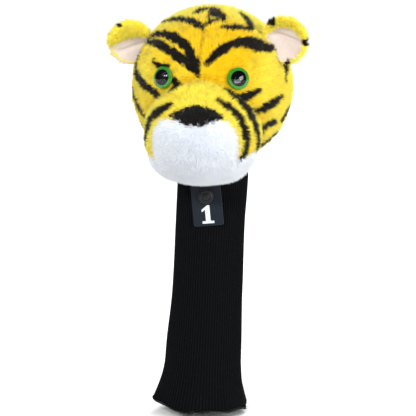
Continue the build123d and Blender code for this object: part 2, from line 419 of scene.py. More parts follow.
STRIPES = {
    "left brow upper": (4.5, [(-65, 40), (-40, 42), (-15, 34), (0, 14)]),
    "left brow lower": (4.5, [(-70, 35), (-30, 30), (0, 12)]),
    "left brow middle": (3.5, [(-15, 25), (-5, 20), (0, 10)]),
    "right brow": (5.0, [(5, 20), (20, 32), (40, 37), (70, 30)]),
    "right brow heavy": (7.5, [(35, 36), (50, 34), (65, 30)]),
    "forehead left": (4.5, [(-80, 52), (-45, 58), (-15, 55), (0, 48)]),
    "forehead right": (2.5, [(0, 50), (7, 56), (27, 57)]),
    "crown left": (5.0, [(-24, 68), (-16, 75), (-5, 80)]),
    "crown middle": (1.8, [(5, 72), (6, 58)]),
    "crown right": (6.5, [(14, 76), (18, 67), (23, 60)]),
    "upper right thin": (3.5, [(20, 50), (35, 50), (50, 47)]),
    "upper right thick": (5.0, [(70, 66), (62, 56), (52, 46)]),
    "left lid": (2.5, [(-42, 22), (-35, 18), (-25, 18)]),
    "left tear": (4.0, [(-22, 8), (-15, 5), (-20, 0)]),
    "left cheek upper": (4.5, [(-70, 28), (-66, 12), (-48, 4), (-30, -4)]),
    "left cheek lower": (5.0, [(-85, 4), (-68, -8), (-54, -20)]),
    "left muzzle": (4.5, [(-15, -8), (-30, -17), (-43, -36)]),
    "left jaw": (2.5, [(-75, -25), (-65, -35)]),
    "right lid": (4.0, [(22, -4), (34, -3), (44, 1)]),
    "right cheek upper": (4.5, [(40, -15), (55, -10), (70, -5)]),
    "right cheek lower": (4.5, [(52, -30), (60, -25), (70, -25)]),
    "right cheek tail": (3.5, [(53, -28), (57, -35)]),
    "right temple": (5.5, [(76, 6), (82, 16), (96, 24)]),
    "right edge": (5.5, [(84, -26), (88, -18), (100, -14)]),
    "right jaw": (5.5, [(60, -52), (76, -42), (94, -34)]),
    "right muzzle inner": (3.6, [(12, -5), (23, -13), (29, -25), (26, -40)]),
    "right muzzle outer": (4.0, [(18, 1), (29, -8), (39, -25), (42, -42)]),
    "right side": (4.0, [(105, 25), (120, 20), (135, 25)]),
    "right side lower": (4.0, [(110, -10), (120, -15), (135, -10)]),
    "left side": (4.0, [(-95, 20), (-110, 25), (-130, 20)]),
    "left side lower": (4.0, [(-90, -10), (-110, -20), (-125, -10)]),
    "left jaw behind": (4.0, [(-90, -40), (-105, -45), (-120, -40)]),
}
BACK_ROWS = ((62, 34), (38, 40), (14, 44), (-10, 44), (-34, 38))  # elevation, and reach each side of the back


def back_stripes():
    """Pairs of bands on the back of the head, sagging towards the middle and not quite meeting."""
    strokes = {}
    for row, (elevation, reach) in enumerate(BACK_ROWS):
        for side in (-1, 1):
            gap = 6 + 5 * ((row + (side > 0)) % 2)
            start = 180 - side * gap
            points = [
                (start, elevation - 9),
                (start - side * reach * 0.4, elevation - 3),
                (start - side * reach * 0.8, elevation + 2),
                (start - side * (reach + 16), elevation - 2),
            ]
            strokes[f"back {row} {side}"] = (4.5, points)
    return strokes


def directions_of(angles):
    angles = np.radians(np.asarray(angles, dtype=float))
    az, el = angles[:, 0], angles[:, 1]
    return np.stack([np.sin(az) * np.cos(el), -np.cos(az) * np.cos(el), np.sin(el)], -1)


def through(points, spans):
    """A smooth line through points, with this many steps between each two."""
    ends = np.concatenate([[2 * points[0] - points[1]], points, [2 * points[-1] - points[-2]]])
    t = np.linspace(0, 1, spans, endpoint=False)[:, None]
    line = []
    for a, b, c, d in zip(ends, ends[1:], ends[2:], ends[3:]):
        bend = (2 * a - 5 * b + 4 * c - d) * t**2
        twist = (3 * b - a - 3 * c + d) * t**3
        line.append(0.5 * (2 * b + (c - a) * t + bend + twist))
    return np.concatenate(line + [points[-1:]])


def ink_depth(points):
    """How far inside the nearest stripe each point lies, in millimetres; negative outside."""
    away = points - HEAD
    radius = np.linalg.norm(away, axis=1)
    away = away / radius[:, None]
    depth = np.full(len(points), -20.0)
    for widest, angles in (STRIPES | back_stripes()).values():
        line = unit(through(directions_of(angles), 6))
        along = np.linspace(0, 1, len(line))
        half = widest * (0.5 + 0.5 * np.sin(np.pi * along) ** 0.7)
        for k in range(len(line) - 1):
            a, b = line[k], line[k + 1]
            span = b - a
            t = np.clip(((away - a) @ span) / max(span @ span, 1e-12), 0, 1)
            gap = np.linalg.norm(away - a - t[:, None] * span, axis=1) * radius
            depth = np.maximum(depth, half[k] + (half[k + 1] - half[k]) * t - gap)
    return depth


def golden(points):
    """1 where the plush is deep gold, at the middle of the face, down to 0 where it is pale lemon."""
    away = unit(points - HEAD)
    azimuth = np.degrees(np.arctan2(away[:, 0], -away[:, 1]))
    elevation = np.degrees(np.arcsin(np.clip(away[:, 2], -1, 1)))
    side = smooth_step(24, 62, np.abs(azimuth - 6))
    crown = smooth_step(44, 66, elevation)
    snout = smooth_step(3, -3, crease_gap(points))
    patchy = 0.18 * lumps(points, 45, RNG_SEED)
    return np.clip(0.95 - 0.6 * side - 0.5 * crown - 0.6 * snout + patchy, 0, 1)


# Materials ------------------------------------------------------------------------------------------------


def new_material(name):
    material = bpy.data.materials.new(name)
    material.use_nodes = True
    tree = material.node_tree
    return material, tree, tree.nodes["Principled BSDF"]


def number(tree, name):
    """A stored number of the mesh."""
    return add(tree, "ShaderNodeAttribute", attribute_name=name).outputs["Fac"]


def set_shader(shader, **values):
    for name, value in values.items():
        shader.inputs[name.replace("_", " ")].default_value = value


def lay_surface(tree, shader, share, low, high, height, strength, depth):
    """Colours a shader between two colours by a share, and bumps it by a height: depth is in mm."""
    mixed = add(tree, "ShaderNodeMix", {0: share, 6: linear(low), 7: linear(high)}, data_type="RGBA")
    bump = add(tree, "ShaderNodeBump", {"Height": height, "Strength": strength, "Distance": depth * MM})
    tree.links.new(mixed.outputs[2], shader.inputs["Base Color"])
    tree.links.new(bump.outputs[0], shader.inputs["Normal"])


def printed_plush(name, deep, pale, ink):
    """Polyester plush, knitted, cut and airbrushed, with a soft sheen: painted shade darkens the colour
    towards the pile's roots and in some tufts, so the tips look brighter.

    The ink only wets the tips that it reaches, so each stripe's edge wanders from tuft to tuft."""
    material, tree, shader = new_material(name)
    place = add(tree, "ShaderNodeTexCoord").outputs["Object"]
    tufts = add(tree, "ShaderNodeTexNoise", {"Vector": place, "Scale": 1 / (5 * MM), "Detail": 3.0})
    drift = add(tree, "ShaderNodeTexNoise", {"Vector": place, "Scale": 1 / (40 * MM), "Detail": 2.0})
    tone = add(tree, "ShaderNodeMath", {0: drift.outputs["Fac"], 1: 0.5, 2: -0.25}, operation="MULTIPLY_ADD")
    tone = add(tree, "ShaderNodeMath", {0: tone.outputs[0], 1: number(tree, "tone")}, use_clamp=True)
    coat = add(
        tree, "ShaderNodeMix", {0: tone.outputs[0], 6: linear(pale), 7: linear(deep)}, data_type="RGBA"
    )
    # Painted shade: the colour is darkened towards the pile's roots and in some tufts, and the tips stay
    # brighter; the bare backing under the pile gets the roots' painted shade
    tip = add(tree, "ShaderNodeMath", {0: number(tree, "tip"), 1: 0.3, 2: 0.58}, operation="MULTIPLY_ADD")
    shade = add(
        tree,
        "ShaderNodeMath",
        {0: tufts.outputs["Fac"], 1: 0.3, 2: tip.outputs[0]},
        operation="MULTIPLY_ADD",
    )
    shaded = add(
        tree, "ShaderNodeVectorMath", {0: coat.outputs[2], "Scale": shade.outputs[0]}, operation="SCALE"
    )
    edge = add(tree, "ShaderNodeMath", {0: tufts.outputs["Fac"], 1: 5.0, 2: -2.5}, operation="MULTIPLY_ADD")
    edge = add(tree, "ShaderNodeMath", {0: edge.outputs[0], 1: number(tree, "ink")})
    wet = add(tree, "ShaderNodeMapRange", {0: edge.outputs[0], 1: -0.5, 2: 0.7})
    mixed = add(
        tree,
        "ShaderNodeMix",
        {0: wet.outputs[0], 6: shaded.outputs[0], 7: linear(ink)},
        data_type="RGBA",
    )
    tree.links.new(mixed.outputs[2], shader.inputs["Base Color"])
    set_shader(shader, Roughness=0.85, Sheen_Weight=0.06, Sheen_Roughness=0.5, Specular_IOR_Level=0.15)
    return material


def plain_plush(name, deep, pale, sheen):
    """Plain polyester plush: tufts lean into light and shadow, and the tips catch the light."""
    material, tree, shader = new_material(name)
    place = add(tree, "ShaderNodeTexCoord").outputs["Object"]
    tufts = add(tree, "ShaderNodeTexNoise", {"Vector": place, "Scale": 1 / (6 * MM), "Detail": 3.0})
    level = add(tree, "ShaderNodeMath", {0: tufts.outputs["Fac"], 1: 0.5, 2: 0.1}, operation="MULTIPLY_ADD")
    # The colour carries painted light: the tips are painted paler as a painted highlight, and the roots and
    # some tufts darker as painted shade
    tip = add(
        tree,
        "ShaderNodeMath",
        {0: number(tree, "tip"), 1: 0.65, 2: level.outputs[0]},
        operation="MULTIPLY_ADD",
    )
    mixed = add(
        tree, "ShaderNodeMix", {0: tip.outputs[0], 6: linear(deep), 7: linear(pale)}, data_type="RGBA"
    )
    tree.links.new(mixed.outputs[2], shader.inputs["Base Color"])
    set_shader(shader, Roughness=0.9, Sheen_Weight=sheen, Sheen_Roughness=0.5, Specular_IOR_Level=0.2)
    return material


def woven(name, dark, light, thread, roughness=0.85, sheen=0.1):
    """Woven or knitted synthetic cloth: a fine check of threads in the colour and the surface."""
    material, tree, shader = new_material(name)
    place = add(tree, "ShaderNodeTexCoord").outputs["Object"]
    grain = add(tree, "ShaderNodeTexVoronoi", {"Vector": place, "Scale": 1 / (thread * MM)})
    blotch = add(tree, "ShaderNodeTexNoise", {"Vector": place, "Scale": 1 / (12 * MM), "Detail": 3.0})
    level = add(
        tree,
        "ShaderNodeMath",
        {0: grain.outputs["Distance"], 1: blotch.outputs["Fac"]},
        operation="MULTIPLY",
    )
    lay_surface(tree, shader, level.outputs[0], light, dark, grain.outputs["Distance"], 0.5, 0.2)
    set_shader(shader, Roughness=roughness, Sheen_Weight=sheen, Specular_IOR_Level=0.3)
    return material


def moulded(name, colour, second, roughness, grain, depth, gloss=0.5, metal=0.0):
    """Moulded or pressed material: even colour with a fine grain, its size and depth in mm."""
    material, tree, shader = new_material(name)
    place = add(tree, "ShaderNodeTexCoord").outputs["Object"]
    noise = add(tree, "ShaderNodeTexNoise", {"Vector": place, "Scale": 1 / (grain * MM), "Detail": 4.0})
    speckle = noise.outputs["Fac"]
    lay_surface(tree, shader, speckle, colour, second, speckle, 0.4, depth)
    set_shader(shader, Roughness=roughness, Specular_IOR_Level=gloss, Metallic=metal)
    return material


def clear_dome(name):
    """Clear acrylic, moulded and polished: it shows the painted ring below and takes sharp highlights."""
    material, _, shader = new_material(name)
    set_shader(shader, Base_Color=(0.97, 1.0, 0.97, 1), Roughness=0.0, Transmission_Weight=1.0, IOR=1.45)
    return material


# Pile -----------------------------------------------------------------------------------------------------


def pile_tree():
    """Geometry nodes that stand spikes of pile on a mesh where its cover number says, combed and clumped."""
    measures = dict.fromkeys(("Density", "Length", "Width", "Lean", "Clump"), "Float")
    tree, given = new_group("Plush pile", {**measures, "Seed": "Int"})
    named = "GeometryNodeInputNamedAttribute"
    cover = add(tree, named, {"Name": "cover"}, data_type="FLOAT").outputs["Attribute"]
    density = add(tree, "ShaderNodeMath", {0: cover, 1: given["Density"]}, operation="MULTIPLY").outputs[0]
    scattered = add(
        tree,
        "GeometryNodeDistributePointsOnFaces",
        {"Mesh": given["Geometry"], "Density": density, "Seed": given["Seed"]},
    )
    comb = add(tree, named, {"Name": "comb"}, data_type="FLOAT_VECTOR").outputs["Attribute"]
    leaning = add(
        tree, "ShaderNodeVectorMath", {0: comb, "Scale": given["Lean"]}, operation="SCALE"
    ).outputs[0]
    place = add(tree, "GeometryNodeInputPosition").outputs[0]
    noise = add(
        tree, "ShaderNodeTexNoise", {"Vector": place, "Scale": 1 / (5 * MM), "Detail": 1.0}
    ).outputs["Color"]
    swirl = add(tree, "ShaderNodeVectorMath", {0: noise, 1: (0.5, 0.5, 0.5)}, operation="SUBTRACT").outputs[0]
    swirl = add(
        tree, "ShaderNodeVectorMath", {0: swirl, "Scale": given["Clump"]}, operation="SCALE"
    ).outputs[0]
    loose = add(
        tree,
        "FunctionNodeRandomValue",
        {0: (-0.3, -0.3, -0.3), 1: (0.3, 0.3, 0.3), "Seed": given["Seed"]},
        data_type="FLOAT_VECTOR",
    ).outputs[0]
    way = scattered.outputs["Normal"]
    for part in (leaning, swirl, loose):
        way = add(tree, "ShaderNodeVectorMath", {0: way, 1: part}).outputs[0]
    turn = add(tree, "FunctionNodeAlignRotationToVector", {"Vector": way}, axis="Z").outputs[0]
    length = add(tree, named, {"Name": "length"}, data_type="FLOAT").outputs["Attribute"]
    vary = add(tree, "FunctionNodeRandomValue", {2: 0.7, 3: 1.15, "Seed": given["Seed"]}, data_type="FLOAT")
    size = add(tree, "ShaderNodeMath", {0: length, 1: vary.outputs[1]}, operation="MULTIPLY").outputs[0]
    spike = add(
        tree,
        "GeometryNodeMeshCone",
        {"Vertices": 3, "Radius Top": 0.0, "Radius Bottom": given["Width"], "Depth": given["Length"]},
        fill_type="NONE",
    ).outputs["Mesh"]
    height = add(tree, "ShaderNodeSeparateXYZ", {0: place}).outputs["Z"]
    tip = add(tree, "ShaderNodeMath", {0: height, 1: given["Length"]}, operation="DIVIDE").outputs[0]
    spike = add(
        tree,
        "GeometryNodeStoreNamedAttribute",
        {"Geometry": spike, "Name": "tip", "Value": tip},
        data_type="FLOAT",
        domain="POINT",
    ).outputs[0]
    standing = add(
        tree,
        "GeometryNodeInstanceOnPoints",
        {"Points": scattered.outputs["Points"], "Instance": spike, "Rotation": turn, "Scale": size},
    ).outputs[0]
    real = add(tree, "GeometryNodeRealizeInstances", {"Geometry": standing}).outputs[0]
    joined = add(tree, "GeometryNodeJoinGeometry")
    tree.links.new(real, joined.inputs[0])
    tree.links.new(given["Geometry"], joined.inputs[0])
    end_group(tree, joined.outputs[0], given["Material"])
    return tree


def grow_pile(obj, material, length, seed, density=1.0, clump=1.0, lean=1.0):
    """Stands pile on a piece and turns the result into its mesh."""
    plush = bpy.context.scene.head_cover_plush
    tree = bpy.data.node_groups.get("Plush pile") or pile_tree()
    values = {
        "Density": plush.density * density * 1e6,
        "Length": length * MM,
        "Width": plush.width * MM,
        "Lean": plush.lean * lean,
        "Clump": plush.clump * clump,
        "Seed": seed,
        "Material": material,
    }
    return run_nodes(obj, tree, values)


def comb_of(points, normals):
    """The way the pile lies: away from the nose and a little down, along the surface."""
    start = np.array([0.0, MUZZLE[1] - MUZZLE_R[1] - 20, NOSE_MID])
    way = unit(points - start) + np.array([0, 0, -0.35])
    way -= normals * np.sum(way * normals, axis=1, keepdims=True)
    return unit(way)


# Pieces ---------------------------------------------------------------------------------------------------

BACKING = 1.5  # thickness of the plush's knitted backing
CHIN_CLUMP = 0.35  # the white pile lies smoother than the yellow
NOSE_PILE = 2.4
# How far under the head's outer size each layer's inner and outer walls lie
PADDING_WALLS, LINING_WALLS = (12, 6.5), (14.5, 13)
FILLING_WALL = 3.5


def panel_labels(points):
    """Which panel each face's middle belongs to."""
    on_muzzle = crease_gap(points) < 0
    left = points[:, 0] < 0
    labels = np.where(points[:, 1] < SEAM_Y, "face_panel", "back_panel").astype("U20")
    labels = np.where(left, np.char.add(labels, "_left"), np.char.add(labels, "_right"))
    labels = np.where(on_muzzle, "muzzle_panel", labels)
    under = (points[:, 2] < 12) & (points[:, 1] < -12)
    labels = np.where((white_depth(points) > 0) & (on_muzzle | under), "chin_panel", labels)
    return np.where(nose_depth(points) > 0, "nose_patch", labels)


def eye_gap(points):
    """How far points lie outside the nearer eye's rim."""
    return np.min([np.linalg.norm(points - place, axis=1) for place in EYES.values()], axis=0) - EYE_R


def seam_points(points):
    """The points where two panels are sewn together, and round the eyes and the neck."""
    x, y, z = points.T
    crease = crease_gap(points)
    seam = np.abs(y - SEAM_Y) < 2.0
    seam |= (np.abs(x) < 1.5) & (crease > 0)
    seam |= np.abs(crease) < 1.6
    for place in EYES.values():
        seam |= np.linalg.norm(points - place, axis=1) < EYE_R + 3
    seam |= (np.hypot(x, y) < BINDING_R + 3) & (z < HEAD[2] - 40)
    seam |= nose_depth(points) > -2
    return seam


def head_form():
    """The stuffed head: points, quads and normals, open at the neck."""
    directions, faces = quad_sphere(40)
    obj = new_object("head_form", head_surface(directions), faces)
    outward(obj)
    puff(obj, seam_points(points_of(obj)), 4.0, 3.0)
    points, quads = subdivided(obj)
    raised = 1.6 * smooth_step(-3, 3, nose_depth(points))
    uneven = 0.7 * lumps(points, 26, RNG_SEED + 1) + 0.35 * lumps(points, 11, RNG_SEED + 2)
    past_binding = np.hypot(points[:, 0], points[:, 1]) - BINDING_R
    calm = smooth_step(2, 9, eye_gap(points)) * smooth_step(2, 9, past_binding)
    normals = point_normals(points, quads)
    points = points + normals * (raised + (uneven - seam_pull(points)) * calm)[:, None]
    normals = point_normals(points, quads)
    middle = points[quads].mean(1)
    neck = (np.hypot(middle[:, 0], middle[:, 1]) < BINDING_R) & (middle[:, 2] < HEAD[2] - 40)
    return points, quads[~neck], normals


def panel_piece(name, points, quads, normals):
    """One sewn panel: its own points of the head's form, with its backing."""
    used, local = np.unique(quads, return_inverse=True)
    outer, side = points[used], normals[used]
    all_points, faces, count = shell(outer, local.reshape(-1, 4), side, BACKING)
    obj = new_object(name, all_points, faces)
    inner = np.zeros(count)
    eyes = eye_gap(outer)
    on_seam = (np.abs(outer[:, 0]) < 0.8) & (crease_gap(outer) > 0)
    cover = smooth_step(-0.8, 0.6, eyes) * np.where(on_seam, 0.25, 1.0)
    # The pile is sheared under the chin, where the tag swings
    under = smooth_step(-58, -48, outer[:, 1]) * smooth_step(6, -2, outer[:, 2])
    length = (0.65 + 0.35 * smooth_step(0, 8, eyes)) * (1 - 0.65 * under)
    for label, values in (
        ("ink", ink_depth(outer)),
        ("tone", golden(outer)),
        ("cover", cover),
        ("length", length),
    ):
        set_values(obj, label, np.concatenate([values, inner if label == "cover" else values]))
    comb = comb_of(outer, side)
    set_values(obj, "comb", np.concatenate([comb, comb]))
    return obj


class HEADCOVER_OT_plush(bpy.types.Operator):
    """Sews the head's plush panels, stuffs them and grows their pile"""

    bl_idname = "headcover.plush"
    bl_label = "Plush Head"

    def execute(self, context):
        plush = context.scene.head_cover_plush
        tiger = printed_plush("Printed polyester plush, cut pile", plush.gold, plush.lemon, plush.ink)
        # Each plain plush's first colour is the painted shade at the roots, and its second is the painted
        # highlight on the tips
        white = plain_plush("White polyester plush, cut pile", "#D2D9E6", "#F6F9FE", 0.3)
        black = plain_plush("Black polyester plush, sheared pile", "#020202", "#141210", 0.1)
        points, quads, normals = head_form()
        labels = panel_labels(points[quads].mean(1))
        looks = {
            "chin_panel": (white, plush.length, "white_plush"),
            "nose_patch": (black, NOSE_PILE, "black_plush"),
        }
        for seed, name in enumerate(sorted(set(labels))):
            material, length, slot = looks.get(name, (tiger, plush.length, "yellow_plush"))
            obj = panel_piece(f"{name}_plush", points, quads[labels == name], normals)
            grow_pile(obj, material, length, seed, clump=CHIN_CLUMP if name == "chin_panel" else 1.0)
            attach(obj, "head")
            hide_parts(name)
        return {"FINISHED"}


def past_neck(points):
    """Whether points lie clear of the neck's opening."""
    return (np.hypot(points[:, 0], points[:, 1]) > BINDING_R + 1) | (points[:, 2] > HEAD[2])


def in_quarter(points, sign, front):
    """Whether points lie on one side of the head, and in front of or behind its side seam."""
    return past_neck(points) & (points[:, 0] * sign > 0) & ((points[:, 1] - SEAM_Y) * front > 0)


def wadding(name, walls, keep):
    """A lofted layer between two balls round the head's centre."""
    inner, outer = (HEAD_R - wall for wall in walls)
    directions, faces = quad_sphere(16)
    uneven = 0.8 * np.sin(directions[:, 0] * 9) * np.cos(directions[:, 2] * 7)
    wall = HEAD + directions * (outer + uneven)[:, None]
    middle = wall[faces].mean(1)
    faces = faces[keep(middle)]
    used, local = np.unique(faces, return_inverse=True)
    points, quads, _ = shell(wall[used], local.reshape(-1, 4), directions[used], outer - inner)
    return outward(new_object(name, points, quads))


class HEADCOVER_OT_inside(bpy.types.Operator):
    """Fills the head with its wadding, muzzle filling and pocket lining"""

    bl_idname = "headcover.inside"
    bl_label = "Wadding and Lining"

    def execute(self, context):
        fluff = woven("Polyester wadding, carded", "#C9C8C2", "#F2F1EC", 2.0, 0.95)
        brushed = woven("Brushed polyester lining knit", "#1B1B1E", "#3A3A40", 0.9, 0.9)
        for side, sign in (("left", -1), ("right", 1)):
            for part, front in (("face", -1), ("back", 1)):
                node = f"{part}_padding_{side}"
                keep = partial(in_quarter, sign=sign, front=front)
                obj = wadding(f"{part}_wadding_{side}", PADDING_WALLS, keep)
                self.finish_piece(obj, fluff, node, "padding")
        obj = wadding("pocket_lining_cloth", LINING_WALLS, past_neck)
        self.finish_piece(obj, brushed, "pocket_lining", "lining")
        directions, faces = quad_sphere(16)
        places = MUZZLE + directions * (MUZZLE_R - 8)
        low, high = box_mm("muzzle_filling")
        away = unit(places - HEAD)
        depth = np.linalg.norm(places - HEAD, axis=1)
        places = HEAD + away * np.maximum(depth, HEAD_R - FILLING_WALL)[:, None]
        places = np.clip(places, low, high)
        obj = outward(new_object("muzzle_wadding", places, faces))
        self.finish_piece(obj, fluff, "muzzle_filling", "padding")
        return {"FINISHED"}

    def finish_piece(self, obj, material, node, slot):
        obj.data.materials.append(material)
        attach(obj, "head")
        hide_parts(node)


def ear_axes(joint, droop):
    """The ear's root and its own axes: along its root, the way it grows, and the way its lining looks."""
    root = np.array(joint["pos_m"]) / MM
    along = unit(np.array(joint["axis"], dtype=float))
    grow = unit(unit(root - HEAD) - droop * np.array([0, 0, 1.0]))
    along = unit(along - grow * (along @ grow))
    facing = np.cross(along, grow)
    return root, along, grow, facing if facing[1] < 0 else -facing


def ear_spread(side, along, grow, x, rise):
    """Where points of the ear lie seen from in front: away from the head, and upwards."""
    outwards = 1 if side == "right" else -1
    return (x * along[0] + rise * grow[0]) * outwards, x * along[2] + rise * grow[2]


EAR_R = 21.5
EAR_CENTRE = 9.5
EAR_DISH = 42.0
EAR_THICK = 3.5
EAR_DROOP = {"left": 0.42, "right": 0.0}  # how far the ear hangs down from where its root points
EAR_SHARE = {"left": 0.94, "right": 1.0}  # each ear's size
EAR_WRAP = {"left": -0.75, "right": -0.1}  # how far round the rim the lining goes
# How far the upper rim rolls over, and the soft fold's depth and height
EAR_FOLD = {"left": (4.0, 2.6, -5.0), "right": (1.6, 2.8, 3.0)}
EAR_CLOTH = 0.6
# Each black tuft on the rim: its angle round the ear in radians, and its radius
EAR_PATCHES = {"left": ((0.9, 3.0),), "right": ((0.6, 3.5), (-1.6, 4.5), (2.0, 3.5))}


def ear_lining(side, away, high):
    """How far inside the smooth lining a point of the ear's front lies: away from the head, and upwards."""
    reach = np.hypot(away, high)
    if side == "right":
        oval = 1 - np.hypot((away + 0.5) / 19.0, (high + 3.0) / 17.0)
        return oval * 16.0
    return np.minimum(24.0 - reach, 6.5 - 0.15 * away - high - 0.012 * (away + 2) ** 2)


def ear_form(side, along, grow):
    """A dished pad with a rolled upper rim and a soft fold, in the ear's own axes."""
    directions, faces = quad_sphere(24)
    across, up, out = directions.T
    edge = np.hypot(across, up)
    x = EAR_R * across * EAR_SHARE[side]
    rise = EAR_R * up * EAR_SHARE[side]
    away, high = ear_spread(side, along, grow, x, rise)
    front = smooth_step(0.0, 0.5, out)
    inside = ear_lining(side, away, high)
    dish = EAR_DISH - np.sqrt(EAR_DISH**2 - x**2 - rise**2)
    rolled, crease, level = EAR_FOLD[side]
    roll = rolled * smooth_step(1.0, -4.0, inside) * smooth_step(-6, 6, high) * front
    line = np.exp(-(((high - level + 0.35 * away) / 2.0) ** 2))
    fold = crease * line * smooth_step(-1, 6, inside) * front
    hollow = 1.8 * smooth_step(-2.0, 6.0, inside) * front
    half = EAR_THICK * out * (1 - 0.35 * edge**2)
    sunk = np.minimum(fold + hollow, 1.5 * half * front)  # the front never reaches the back
    y = half + dish + roll - sunk
    rise = np.maximum(rise + EAR_CENTRE, -5.0)
    return x * (1 - 0.12 * smooth_step(4, -10, rise)), rise, y, faces


class HEADCOVER_OT_ears(bpy.types.Operator):
    """Makes both ears, plush behind and brushed tricot in front"""

    bl_idname = "headcover.ears"
    bl_label = "Ears"

    def execute(self, context):
        plush = context.scene.head_cover_plush
        tiger = printed_plush("Ear plush, cut pile", plush.gold, plush.lemon, plush.ink)
        satin = woven("Brushed tricot, off-white", "#A3938B", "#CDBFB7", 0.8, 0.85, 0.05)
        for seed, side in enumerate(("left", "right")):
            root, along, grow, facing = ear_axes(JOINTS[f"{side}_ear_fold"], EAR_DROOP[side])
            x, rise, y, faces = ear_form(side, along, grow)
            points = root + x[:, None] * along + rise[:, None] * grow + y[:, None] * facing
            obj = new_object(f"{side}_ear_form", points, faces)
            points, quads = subdivided(outward(obj))
            normals = point_normals(points, quads)
            local = (points - root) @ np.stack([along, grow, facing], 1)
            local[:, 1] -= EAR_CENTRE
            away, high = ear_spread(side, along, grow, local[:, 0], local[:, 1])
            lining = (ear_lining(side, away, high) > 0) & (normals @ facing > EAR_WRAP[side])
            inside = lining[quads].all(1)
            for part, chosen in (("plush", ~inside), ("tricot", inside)):
                used, index = np.unique(quads[chosen], return_inverse=True)
                outer, out = points[used], normals[used]
                all_points, all_faces, count = shell(outer, index.reshape(-1, 4), out, EAR_CLOTH)
                piece = new_object(f"{side}_ear_{part}", all_points, all_faces)
                if part == "plush":
                    self.cover(piece, side, out, local[used], grow, count)
                    grow_pile(piece, tiger, plush.length, 20 + seed, lean=0.8)
                    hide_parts(f"{side}_ear_back")
                else:
                    piece.data.materials.append(satin)
                    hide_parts(f"{side}_ear_lining")
                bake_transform(piece)
        return {"FINISHED"}

    def cover(self, piece, side, out, local, grow, count):
        """What the pile on an ear's back and rim needs: its inked patches, colour, cover and lie."""
        turn = np.arctan2(local[:, 0], local[:, 1])
        reach = np.hypot(local[:, 0], local[:, 1])
        patch = np.full(count, -20.0)
        for angle, half in EAR_PATCHES[side]:
            patch = np.maximum(patch, half - np.hypot(EAR_R * (turn - angle), reach - EAR_R))
        comb = unit(grow - out * (out @ grow)[:, None])
        full = np.ones(count)
        for label, outside, inside in (
            ("ink", patch, patch),
            ("tone", full * 0.3, full * 0.3),
            ("cover", full, full * 0),
            ("length", full * 0.85, full),
            ("comb", comb, comb),
        ):
            set_values(piece, label, np.concatenate([outside, inside]))


class HEADCOVER_OT_eyes(bpy.types.Operator):
    """Dresses the moulded eyes: a clear dome over a green ring and a black pupil"""

    bl_idname = "headcover.eyes"
    bl_label = "Eyes"

    def execute(self, context):
        # The ring and the pupil are cemented to the dome, so they have no gloss of their own
        looks = {
            "lens": clear_dome("Clear acrylic, moulded and polished"),
            "iris": moulded("Green enamel behind the eye", "#1FA022", "#5FE04A", 0.4, 1.2, 0.0, gloss=0.0),
            "pupil": moulded("Black ABS, moulded", "#000100", "#010402", 0.9, 0.8, 0.0, gloss=0.0),
            "washer": moulded("White polypropylene, moulded", "#DADAD6", "#ECECE8", 0.5, 0.6, 0.03),
        }
        looks["shank"] = looks["pupil"]
        for side in ("left", "right"):
            for part, material in looks.items():
                dress(f"{side}_eye_{part}", material)
        return {"FINISHED"}


def dress(node, material):
    """Gives a CAD node a better material."""
    obj = frame["nodes"][node]
    for slot in obj.material_slots:
        slot.material = material
    if not obj.material_slots:
        obj.data.materials.append(material)


# Sleeve ---------------------------------------------------------------------------------------------------

SLEEVE_DOWN = unit(SLEEVE_AXIS)
SLEEVE_FRONT = np.array([0.0, -1.0, 0.0])
SLEEVE_SIDE = unit(np.cross(SLEEVE_DOWN, SLEEVE_FRONT))
SLEEVE_TOP = -14.0  # it starts inside the neck
SLOW_FLARE = 2.4
QUICK_FLARE, QUICK_HEIGHT = 10.1, 50  # how much it adds at the mouth, and how far above it starts
NECK_FLARE = 2.6
HEM_DEPTH = 2.5  # how much of its length the hem's stitches take
HEM_UP, HEM_IN = 2.2, 1.1  # where the stitches' line runs: up from the mouth, and in from the outside
RIB_STEPS = 6
TAPE_WALL, TAPE_HEIGHT, TAPE_RISE = 1.2, 4.0, 2  # the binding's half thickness, half height and lift


def sleeve_radius(down):
    """The sleeve's outside radius down its axis: straight, then a slow flare and a quick one."""
    above = SLEEVE_LENGTH - down
    slow = SLOW_FLARE * smooth_step(110, 45, above)
    quick = QUICK_FLARE * np.clip((QUICK_HEIGHT - above) / QUICK_HEIGHT, 0, 1) ** 1.9
    neck = NECK_FLARE * smooth_step(-4, -14, down)
    return SLEEVE_R + slow + quick + neck


def mouth_wave(turn, down):
    """The flared edge's soft waves: outwards, and along the sleeve."""
    strength = smooth_step(SLEEVE_LENGTH - 40, SLEEVE_LENGTH, down)
    out = 1.5 * np.sin(5 * turn + 0.6) + 0.9 * np.sin(9 * turn + 2.0)
    along = 1.0 * np.sin(3 * turn + 1.2) + 0.7 * np.sin(7 * turn)
    return out * strength, along * strength


def sleeve_point(turn, down, proud=0.0):
    """A point of the sleeve's outside at an angle round it and a distance down it."""
    wave, shift = mouth_wave(turn, down)
    slack = 0.5 * np.sin(2 * turn + down / 34) + 0.35 * np.sin(3 * turn - down / 21)
    radius = sleeve_radius(down) + wave + slack * smooth_step(10, 60, down) + proud
    along = (down + shift)[..., None] * SLEEVE_DOWN
    return along + radius[..., None] * (
        np.cos(turn)[..., None] * SLEEVE_FRONT + np.sin(turn)[..., None] * SLEEVE_SIDE
    )


